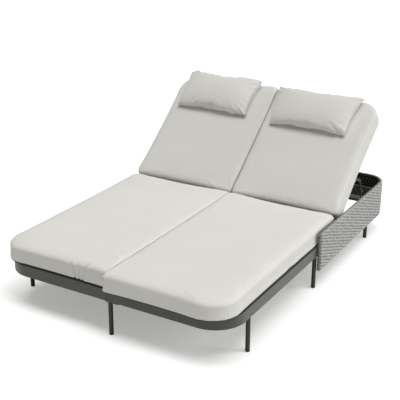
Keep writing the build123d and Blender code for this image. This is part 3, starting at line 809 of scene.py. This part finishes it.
def back_cushion(side, piece, places):
    """Shapes a blown-up back pad and lays it on its frame."""
    pivot, up, out = back_axes(side)
    height = (places - pivot) @ out
    places = ripple(places, out, BACK_RIPPLES_PER_METRE, np.clip(height / height.max(), 0, 1))
    places = fill_corners(subdivided(piece, places), out)
    places = hold_above(places, pivot, out, CUSHION_BASE + REST_GAP)
    inward, wall = neighbour_wall(side, BACK_GAP)
    places = press(places, inward, wall, BACK_SEAM_PRESS)
    places = press(places, -inward, None, BACK_SIDE_SWELL)
    places = press(places, up, None, BACK_TOP_SWELL)
    places = raised_inner_corner(places, pivot, up)
    places = press(places, -up, None, BACK_FOOT_PRESS)
    places = hold_above(places, np.zeros(3), REARWARDS, BACK_FOOT_WALL)
    set_coordinates(piece.data, places)
    node = f"back_cushion_{side}"
    finish_soft(piece, BACK_CLOTH, f"back_{side}", node)
    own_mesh(piece)


# Head pillows: two sheets sewn at a knife edge
def pillow_grid(columns, rows):
    """Each point of a sheet: row, column, and how far along and across from -1 to 1."""
    for row in range(rows + 1):
        for column in range(columns + 1):
            yield row, column, 2 * column / columns - 1, 2 * row / rows - 1


def pillow_sheets(name, centre, across, along, rise, drop, taper):
    """A filled bag: a high upper sheet and a low lower one, with drawn-in sides."""
    columns = round(across.length * 2 / PILLOW_GRID)
    rows = round(along.length * 2 / PILLOW_GRID)
    bag = bmesh.new()
    rim = {}
    sheets = []
    for lift in (-drop, rise):
        sheet = {}
        for row, column, u, v in pillow_grid(columns, rows):
            edge = row in (0, rows) or column in (0, columns)
            if edge and (row, column) in rim:
                sheet[row, column] = rim[row, column]
                continue
            full = ((1 - abs(u) ** DOME_POWERS[0]) * (1 - abs(v) ** DOME_POWERS[1])) ** 0.5
            plan = across * u * (1 - PILLOW_END_DRAW * (1 - v * v)) * (taper[0] + taper[1] * v)
            plan += along * v * (1 - PILLOW_SIDE_DRAW * (1 - u * u))
            sheet[row, column] = bag.verts.new(centre + plan + lift * full)
            if edge:
                rim[row, column] = sheet[row, column]
        sheets.append(sheet)
    for turn, sheet in zip((-1, 1), sheets):
        for row in range(rows):
            for column in range(columns):
                ring = [sheet[row + y, column + x] for x, y in ((0, 0), (1, 0), (1, 1), (0, 1))]
                bag.faces.new(ring[::turn])
    mesh = bpy.data.meshes.new(name)
    bag.to_mesh(mesh)
    bag.free()
    return link_object(name, mesh)


def pillow_bag(side):
    """The bag at its place over the back cushion, as large as the CAD pillow."""
    corners = coordinates(frame["nodes"][f"head_pillow_{side}"].data)
    pivot, up, out = back_axes(side)
    heights = (corners - pivot) @ out
    reach = (corners - pivot) @ up
    low_x, high_x = corners[:, 0].min(), corners[:, 0].max()
    thickness = heights.max() - heights.min()
    rim_height = PILLOW_RIM_SHARE * thickness
    middle = Vector(pivot + up * (reach.min() + reach.max()) / 2)
    middle.x = (low_x + high_x) / 2
    return pillow_sheets(
        f"pillow_{side}",
        centre=middle + Vector(out) * (heights.min() + rim_height),
        across=Vector(((high_x - low_x) / 2, 0, 0)),
        along=Vector(up) * ((reach.max() - reach.min()) / 2),
        rise=Vector(out) * (thickness - rim_height),
        drop=Vector(out) * rim_height,
        taper=PILLOW_TAPERS[side],
    )


def creases(start, side):
    """Folds that run in from the sewn edge towards the middle, deepest near the corners."""
    pivot, up, out = back_axes(side)
    across = start[:, 0]
    along = (start - pivot) @ up
    half = (np.ptp(across) / 2, np.ptp(along) / 2)
    u = across - (across.max() + across.min()) / 2
    v = along - (along.max() + along.min()) / 2
    depth = np.maximum(np.minimum(half[0] - np.abs(u), half[1] - np.abs(v)), 0)
    corner = np.abs(u / half[0]) * np.abs(v / half[1])
    spin = np.stack((u / half[0], v / half[1]), 1)
    spin /= np.maximum(np.linalg.norm(spin, axis=1, keepdims=True), 1e-6)
    shift = CREASE_SHIFTS[side]
    folds = np.array([
        noise.noise(Vector((x * CREASE_TURNS, y * CREASE_TURNS + shift, deep * CREASE_DRIFT)))
        for (x, y), deep in zip(spin, depth)
    ])
    waves = np.array([noise.noise(Vector((x * EDGE_TURNS, y * EDGE_TURNS, shift))) for x, y in spin])
    fade = CREASE_REACH + (CORNER_REACH - CREASE_REACH) * corner**2
    reach = np.exp(-depth / fade) * (1 - np.exp(-depth / SEAM_HOLD))
    strength = CREASE_DEPTH * (CREASE_SHARES[0] + CREASE_SHARES[1] * corner)
    sway = EDGE_WAVE * waves * np.exp(-depth / EDGE_REACH) * np.sign(v)
    return np.outer(folds * reach * strength, out) + np.outer(sway, up)


def pillow(side, piece, start, places):
    """Lays the filled bag on the back cushion."""
    node = f"head_pillow_{side}"
    pivot, _, out = back_axes(side)
    base = ((coordinates(frame["nodes"][node].data) - pivot) @ out).min()
    places = hold_above(places + creases(start, side), pivot, out, base + PILLOW_REST_GAP)
    subdivided(piece, places)
    finish_soft(piece, PILLOW_CLOTH, f"back_{side}", node)


def soft_goods():
    """All six cushions and pillows, blown up together and put in their places."""
    seats = {side: cushion_form(f"seat_pad_{side}", f"seat_cushion_{side}") for side in SIDES}
    backs = {side: cushion_form(f"back_pad_{side}", f"back_cushion_{side}") for side in SIDES}
    bags = {side: pillow_bag(side) for side in SIDES}
    for side in SIDES:
        square_up(seats[side], np.array((0, 0, DECK_Z)), UP)
        pivot, _, out = back_axes(side)
        square_up(backs[side], pivot + out * CUSHION_BASE, out)
    starts, ends = blown_up((*seats.values(), *backs.values()), bags.values())
    for side in SIDES:
        seat, back, bag = seats[side], backs[side], bags[side]
        seat_cushion(side, seat, limited(starts[seat], ends[seat], CUSHION_CAP))
        back_cushion(side, back, limited(starts[back], ends[back], CUSHION_CAP))
        pillow(side, bag, starts[bag], limited(starts[bag], ends[bag], PILLOW_CAP))


# Woven band: its outline
def run(start, finish, facing):
    """Points along a straight stretch, without its last one."""
    count = max(2, round(math.dist(start, finish) / BAND_STEP))
    step_x, step_y = finish[0] - start[0], finish[1] - start[1]
    shares = [index / count for index in range(count)]
    return [(start[0] + step_x * share, start[1] + step_y * share, facing) for share in shares]


def turn(centre, radius, first, last, facing):
    """Points round an arc, without its last one."""
    count = max(4, round(abs(last - first) * max(radius, BAND_STEP) / BAND_STEP))
    angles = [first + (last - first) * (index / count) for index in range(count)]
    return [
        (centre[0] + radius * math.cos(angle), centre[1] + radius * math.sin(angle), facing)
        for angle in angles
    ]


def band_outline(inset):
    """Closed plan of the band, inset all round: points and how far inside each faces, the rounded ends taking
    painted shade.
    """
    middle = BAND_THICK / 2
    bend = (BAND_HIGH.x - BAND_BEND, BAND_HIGH.y - BAND_BEND)
    outer, inner = BAND_BEND - inset, BAND_BEND - BAND_THICK + inset
    end_radius = middle - inset
    front = (BAND_HIGH.x - middle, BAND_LOW.y + middle)
    left = (BAND_LOW.x + middle, BAND_HIGH.y - middle)
    quarter, half = math.pi / 2, math.pi
    return np.array([
        *run((front[0] + end_radius, front[1]), (bend[0] + outer, bend[1]), OUTSIDE),
        *turn(bend, outer, 0, quarter, OUTSIDE),
        *run((bend[0], bend[1] + outer), (left[0], left[1] + end_radius), OUTSIDE),
        *turn(left, end_radius, quarter, quarter + half, END_PAINTED_SHADE),
        *run((left[0], left[1] - end_radius), (bend[0], bend[1] + inner), INSIDE),
        *turn(bend, inner, quarter, 0, INSIDE),
        *run((bend[0] + inner, bend[1]), (front[0] - end_radius, front[1]), INSIDE),
        *turn(front, end_radius, half, 2 * half, END_PAINTED_SHADE),
    ])


def outline_steps(outline):
    """Distance from each point of a closed outline to the next."""
    return np.linalg.norm(np.diff(outline[:, :2], axis=0, append=outline[:1, :2]), axis=1)


def outline_normals(outline):
    """The way into the band at each point of its outline."""
    ahead = np.roll(outline[:, :2], -1, 0) - np.roll(outline[:, :2], 1, 0)
    ahead /= np.linalg.norm(ahead, axis=1, keepdims=True)
    return np.stack((-ahead[:, 1], ahead[:, 0]), 1)


def lower_edge(x, y):
    """How far the band's lower edge has risen at a place in its plan."""
    bend_x, bend_y = BAND_HIGH.x - BAND_BEND, BAND_HIGH.y - BAND_BEND
    along = ((bend_x - x) + (y - bend_y)) * math.sqrt(0.5)
    reach = BAND_BEND * math.sqrt(0.5)
    return BACK_RISE * np.clip((along + reach) / (2 * reach), 0, 1)


def spaced(outline, pitch, offset=0.0):
    """Points of a closed outline about a pitch apart, with what they face."""
    along = np.concatenate(([0], np.cumsum(outline_steps(outline))))
    count = 2 * round(along[-1] / (2 * pitch))
    wanted = (np.arange(count) + offset) * along[-1] / count
    closed = np.vstack((outline, outline[:1]))
    x, y = (np.interp(wanted, along, closed[:, axis]) for axis in (0, 1))
    facing = closed[np.searchsorted(along, wanted, side="right") - 1, 2]
    return np.stack((x, y, facing), 1)


# Woven band: its rope rows
def band_rows():
    """Heights, insets, swings and tone ranges of the rope rows, from the top edge down; the top rows' ranges hold
    painted shade.
    """
    top, bottom = BAND_HIGH.z, BAND_LOW.z
    fit = BAND_ROUND - ROPE_RADIUS
    rows = []
    for step, tones in zip((2, 1), TOP_PAINTED_SHADES):
        angle = step * math.pi / 4
        lift = fit * math.sin(angle)
        draw = fit * (1 - math.cos(angle))
        rows.append((top - BAND_ROUND + lift, ROPE_RADIUS + draw, EDGE_SWING_SHARE, tones))
    count = round((top - bottom - 2 * BAND_ROUND) / ROPE_PITCH)
    for index in range(count + 1):
        z = top - BAND_ROUND - index * (top - bottom - 2 * BAND_ROUND) / count
        rows.append((z, ROPE_RADIUS, 1.0, ROW_TONES))
    mirrored = [(top + bottom - row[0], *row[1:]) for row in rows[1::-1]]
    return rows + mirrored


def rope_row(index, z, inset, swing, tones):
    """One closed row: its points, how much of the dark inside colour each takes (painted shade on the ends and top
    rows included) and how deep it dives.
    """
    outline = band_outline(inset)
    steps = outline_steps(outline)
    along = np.concatenate(([0], np.cumsum(steps)[:-1]))
    waves = round(steps.sum() / (STAKES_PER_WAVE * STAKE_PITCH))
    phase = math.tau * (waves * along / steps.sum() - index / STAKES_PER_WAVE)
    phase += [
        WEAVE_DRIFT * noise.noise(Vector((place * DRIFT_PER_METRE, index * DRIFT_PER_ROW, 0)))
        for place in along
    ]
    dive = ((1 - np.cos(phase)) / 2) ** DIVE_POWER
    flat = outline[:, :2] + outline_normals(outline) * (swing * WEAVE_SWING * dive)[:, None]
    height = BAND_HIGH.z - BAND_LOW.z
    share = (BAND_HIGH.z - z) / height
    levels = BAND_HIGH.z - share * (height - lower_edge(flat[:, 0], flat[:, 1]))
    points = [(x, y, level) for (x, y), level in zip(flat, levels)]
    return points, np.clip(outline[:, 2], *tones), dive


def rope_paths():
    """A closed path for each row, swinging in and out between the stakes."""
    points, edges, inner, dives = [], [], [], []
    for index, row in enumerate(band_rows()):
        places, tones, dive = rope_row(index, *row)
        first, count = len(points), len(places)
        points += places
        inner += list(tones)
        dives += list(dive)
        edges += [(first + step, first + (step + 1) % count) for step in range(count)]
    return points_mesh("rope_paths", points, edges, inner=inner, dive=dives)


def points_mesh(name, points, edges=(), **marks):
    """A mesh of points and edges, with a number at each point for every mark."""
    mesh = bpy.data.meshes.new(name)
    mesh.from_pydata([tuple(point) for point in points], edges, [])
    for label, values in marks.items():
        attribute = mesh.attributes.new(label, "FLOAT", "POINT")
        attribute.data.foreach_set("value", np.array(values, np.float32))
    return mesh


# Woven band: Geometry Nodes
def new_tree(name, inputs):
    """A Geometry Nodes tree with geometry in and out, named inputs and a material."""
    tree = bpy.data.node_groups.new(name, "GeometryNodeTree")
    tree.interface.new_socket("Geometry", in_out="INPUT", socket_type="NodeSocketGeometry")
    for label, kind in (*inputs, ("Material", "NodeSocketMaterial")):
        tree.interface.new_socket(label, in_out="INPUT", socket_type=kind)
    tree.interface.new_socket("Geometry", in_out="OUTPUT", socket_type="NodeSocketGeometry")
    return tree, tree.nodes.new("NodeGroupInput"), tree.nodes.new("NodeGroupOutput")


def end_tree(tree, given, result, geometry):
    """Realizes the instances, sets the material and joins the output."""
    real = tree.nodes.new("GeometryNodeRealizeInstances")
    paint = tree.nodes.new("GeometryNodeSetMaterial")
    tree.links.new(geometry, real.inputs[0])
    tree.links.new(real.outputs[0], paint.inputs["Geometry"])
    tree.links.new(given.outputs["Material"], paint.inputs["Material"])
    tree.links.new(paint.outputs[0], result.inputs["Geometry"])


def run_tree(piece, tree, **values):
    """Runs a tree on a piece with its inputs set by identifier, and keeps the plain mesh."""
    modifier = piece.modifiers.new(tree.name, "NODES")
    modifier.node_group = tree
    for item in tree.interface.items_tree:
        key = item.name.replace(" ", "_")
        if item.item_type == "SOCKET" and item.in_out == "INPUT" and key in values:
            modifier[item.identifier] = values[key]
    return bake_modifiers(piece)


def stored(tree, geometry, name, value):
    """The geometry with a number kept at each point under a name."""
    keep = tree.nodes.new("GeometryNodeStoreNamedAttribute")
    keep.inputs["Name"].default_value = name
    tree.links.new(geometry, keep.inputs["Geometry"])
    tree.links.new(value, keep.inputs["Value"])
    return keep.outputs["Geometry"]


def on_points(tree, given, shape, size=None):
    """The shape at every point of the given geometry, scaled where a size is given."""
    put = tree.nodes.new("GeometryNodeInstanceOnPoints")
    tree.links.new(given.outputs["Geometry"], put.inputs["Points"])
    tree.links.new(shape.outputs["Mesh"], put.inputs["Instance"])
    if size:
        tree.links.new(size, put.inputs["Scale"])
    return put.outputs["Instances"]


def rope_tree():
    """Sweeps a round rope along every path, and keeps how far along and around each point lies."""
    tree, given, result = new_tree(
        "rope_sweep", (("Rope Radius", "NodeSocketFloat"), ("Sides", "NodeSocketInt"))
    )
    curve = tree.nodes.new("GeometryNodeMeshToCurve")
    tree.links.new(given.outputs["Geometry"], curve.inputs["Mesh"])
    along = tree.nodes.new("GeometryNodeSplineParameter")
    path = stored(tree, curve.outputs["Curve"], "along", along.outputs["Length"])
    circle = tree.nodes.new("GeometryNodeCurvePrimitiveCircle")
    tree.links.new(given.outputs["Sides"], circle.inputs["Resolution"])
    tree.links.new(given.outputs["Rope Radius"], circle.inputs["Radius"])
    around = tree.nodes.new("GeometryNodeSplineParameter")
    ring = stored(tree, circle.outputs["Curve"], "around", around.outputs["Factor"])
    sweep = tree.nodes.new("GeometryNodeCurveToMesh")
    tree.links.new(path, sweep.inputs["Curve"])
    tree.links.new(ring, sweep.inputs["Profile Curve"])
    end_tree(tree, given, result, sweep.outputs["Mesh"])
    return tree


def stake_tree():
    """Stands a thin upright with its middle at every point, as long as the point's reach."""
    tree, given, result = new_tree(
        "band_stakes", (("Radius", "NodeSocketFloat"), ("Sides", "NodeSocketInt"))
    )
    shape = tree.nodes.new("GeometryNodeMeshCylinder")
    shape.inputs["Depth"].default_value = 1.0
    tree.links.new(given.outputs["Sides"], shape.inputs["Vertices"])
    tree.links.new(given.outputs["Radius"], shape.inputs["Radius"])
    length = tree.nodes.new("GeometryNodeInputNamedAttribute")
    length.inputs["Name"].default_value = "reach"
    size = tree.nodes.new("ShaderNodeCombineXYZ")
    size.inputs["X"].default_value = size.inputs["Y"].default_value = 1
    tree.links.new(length.outputs["Attribute"], size.inputs["Z"])
    end_tree(tree, given, result, on_points(tree, given, shape, size.outputs["Vector"]))
    return tree


def knot_tree():
    """Puts a small rope lashing at every point."""
    tree, given, result = new_tree("band_lashings", (("Radius", "NodeSocketFloat"),))
    shape = tree.nodes.new("GeometryNodeMeshIcoSphere")
    shape.inputs["Subdivisions"].default_value = 1
    tree.links.new(given.outputs["Radius"], shape.inputs["Radius"])
    end_tree(tree, given, result, on_points(tree, given, shape))
    return tree


# Woven band: its pieces
def band_weave():
    weave = link_object("band_weave", rope_paths())
    run_tree(weave, rope_tree(), Rope_Radius=ROPE_RADIUS, Sides=ROPE_SIDES, Material=ROPE)
    smooth(weave)
    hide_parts("woven_band")
    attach(weave, "base")


def band_stakes():
    stands = spaced(band_outline(ROPE_RADIUS + WEAVE_SWING / 2), STAKE_PITCH)
    lows = BAND_LOW.z + BAND_ROUND + lower_edge(stands[:, 0], stands[:, 1])
    reaches = BAND_HIGH.z - BAND_ROUND - lows
    centres = [(x, y, low + reach / 2) for (x, y, _), low, reach in zip(stands, lows, reaches)]
    stakes = link_object("band_stakes", points_mesh("stake_points", centres, reach=reaches))
    run_tree(stakes, stake_tree(), Radius=STAKE_RADIUS, Sides=STAKE_SIDES, Material=STAKE_COAT)
    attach(stakes, "base")


def band_lashings():
    outline = band_outline(ROPE_RADIUS * KNOT_SINK_SHARE)
    halfway = (OUTSIDE + INSIDE) / 2
    points = []
    for index, drop in enumerate(KNOT_DROPS):
        places = spaced(outline, KNOT_PITCH, 0.5 * (index % 2))
        points += [(x, y, BAND_HIGH.z - drop) for x, y, facing in places if facing > halfway]
    knots = link_object("band_lashings", points_mesh("lashing_points", points))
    run_tree(knots, knot_tree(), Radius=KNOT_RADIUS, Material=LASHING)
    smooth(knots)
    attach(knots, "base")


# Room: floor, light and camera
def floor():
    """A wide pale floor, a little brighter to the camera so that it shows white."""
    mesh = bpy.data.meshes.new("floor")
    signs = ((-1, -1), (1, -1), (1, 1), (-1, 1))
    corners = [(x * FLOOR_REACH, y * FLOOR_REACH, 0) for x, y in signs]
    mesh.from_pydata(corners, [], [(0, 1, 2, 3)])
    material = bpy.data.materials.new("studio_floor")
    material.use_nodes = True
    tree = material.node_tree
    tree.nodes.clear()
    plain = tree.nodes.new("ShaderNodeBsdfDiffuse")
    plain.inputs["Color"].default_value = (*FLOOR_COLOUR, 1)
    glow = tree.nodes.new("ShaderNodeEmission")
    glow.inputs["Color"].default_value = (*FLOOR_GLOW_COLOUR, 1)
    path = tree.nodes.new("ShaderNodeLightPath")
    both = tree.nodes.new("ShaderNodeAddShader")
    output = tree.nodes.new("ShaderNodeOutputMaterial")
    amount = math_node(tree, "MULTIPLY", path.outputs["Is Camera Ray"], FLOOR_GLOW)
    tree.links.new(amount, glow.inputs["Strength"])
    tree.links.new(plain.outputs[0], both.inputs[0])
    tree.links.new(glow.outputs[0], both.inputs[1])
    tree.links.new(both.outputs[0], output.inputs["Surface"])
    link_object("floor", mesh, material)


def room_light(strength):
    """Even white room light, and plain white for what the camera sees."""
    made = bpy.data.worlds.new("studio")
    made.use_nodes = True
    tree = made.node_tree
    background = tree.nodes["Background"]
    background.inputs["Color"].default_value = (*ROOM_COLOUR, 1)
    path = tree.nodes.new("ShaderNodeLightPath")
    lift = math_node(tree, "MULTIPLY", path.outputs["Is Camera Ray"], 1 - strength)
    tree.links.new(math_node(tree, "ADD", lift, strength), background.inputs["Strength"])
    bpy.context.scene.world = made


def lamp(name, source, spread, strength):
    """An even soft light from a direction, as wide as the spread in degrees."""
    light = bpy.data.lights.new(name, "SUN")
    light.energy = strength
    light.angle = math.radians(spread)
    made = bpy.data.objects.new(name, light)
    bpy.context.scene.collection.objects.link(made)
    made.rotation_euler = (-Vector(source)).to_track_quat("-Z", "Y").to_euler()


def camera():
    """The camera that was fitted to the photograph."""
    data = bpy.data.cameras.new("camera")
    data.lens = CAMERA_LENS
    data.sensor_width = CAMERA_SENSOR
    made = bpy.data.objects.new("camera", data)
    bpy.context.scene.collection.objects.link(made)
    level_reach = math.cos(CAMERA_PITCH)
    ahead = Vector((
        -math.sin(CAMERA_YAW) * level_reach,
        math.cos(CAMERA_YAW) * level_reach,
        -math.sin(CAMERA_PITCH),
    ))
    level = ahead.cross(Vector((0, 0, 1))).normalized()
    above = level.cross(ahead)
    right = level * math.cos(CAMERA_ROLL) + above * math.sin(CAMERA_ROLL)
    top = above * math.cos(CAMERA_ROLL) - level * math.sin(CAMERA_ROLL)
    rotation = Matrix((right, top, -ahead)).transposed().to_4x4()
    made.matrix_world = Matrix.Translation(CAMERA_PLACE) @ rotation
    bpy.context.scene.camera = made


finish_metal()
soft_goods()
band_weave()
band_stakes()
band_lashings()
floor()
room_light(ROOM_LIGHT)
for settings in LAMPS:
    lamp(*settings)
camera()
bpy.context.scene.view_settings.view_transform = "Standard"
